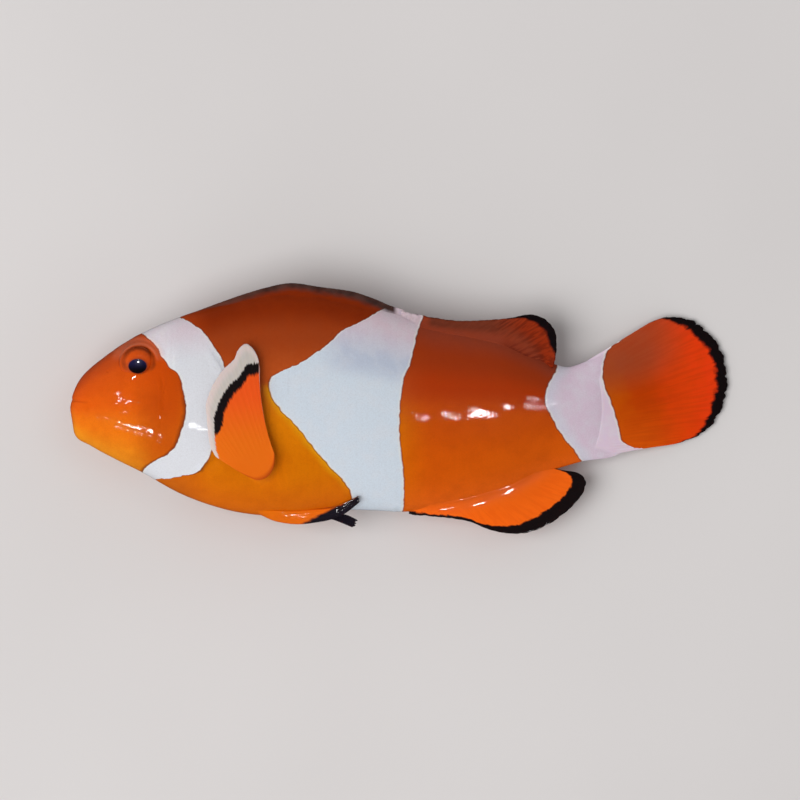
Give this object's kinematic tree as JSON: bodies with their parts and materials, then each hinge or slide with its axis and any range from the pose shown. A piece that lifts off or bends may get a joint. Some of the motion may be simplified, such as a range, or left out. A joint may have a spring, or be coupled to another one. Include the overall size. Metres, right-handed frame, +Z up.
{
  "type": "clownfish",
  "caption": "Life-size clownfish lying on its right flank, with head, gill covers, trunk, tail stalk, eyes and fins as separate pieces.",
  "frame": {"origin": "on the floor, under the middle of the fish's box", "axes": "+X from snout to tail, +Y from belly to back, +Z up, out of the left flank"},
  "size_m": [0.09, 0.0344, 0.0153],
  "materials": {
    "skin_orange": "wet, finely scaled skin",
    "skin_white": "wet, finely scaled white band",
    "eye": "clear and glossy over an orange iris",
    "fin_brown": "wet rayed membrane, brown with a black edge",
    "fin_orange": "wet rayed membrane, orange with a black edge",
    "fin_red": "wet rayed membrane, red-orange with a black edge",
    "fin_black": "wet rayed membrane, black tip"
  },
  "bodies": {
    "root": {"head": "skin_orange", "lower_jaw": "skin_orange", "gill_cover_left": "skin_white", "gill_cover_right": "skin_white", "trunk": "skin_orange", "tail_stalk": "skin_white", "eye_left": "eye", "eye_right": "eye", "dorsal_fin_spiny": "fin_brown", "dorsal_fin_soft": "fin_brown", "anal_fin": "fin_orange", "caudal_fin": "fin_red", "pectoral_fin_left": "fin_orange", "pectoral_fin_right": "fin_orange", "pelvic_fin_left": "fin_black", "pelvic_fin_right": "fin_black"}
  },
  "joints": []
}
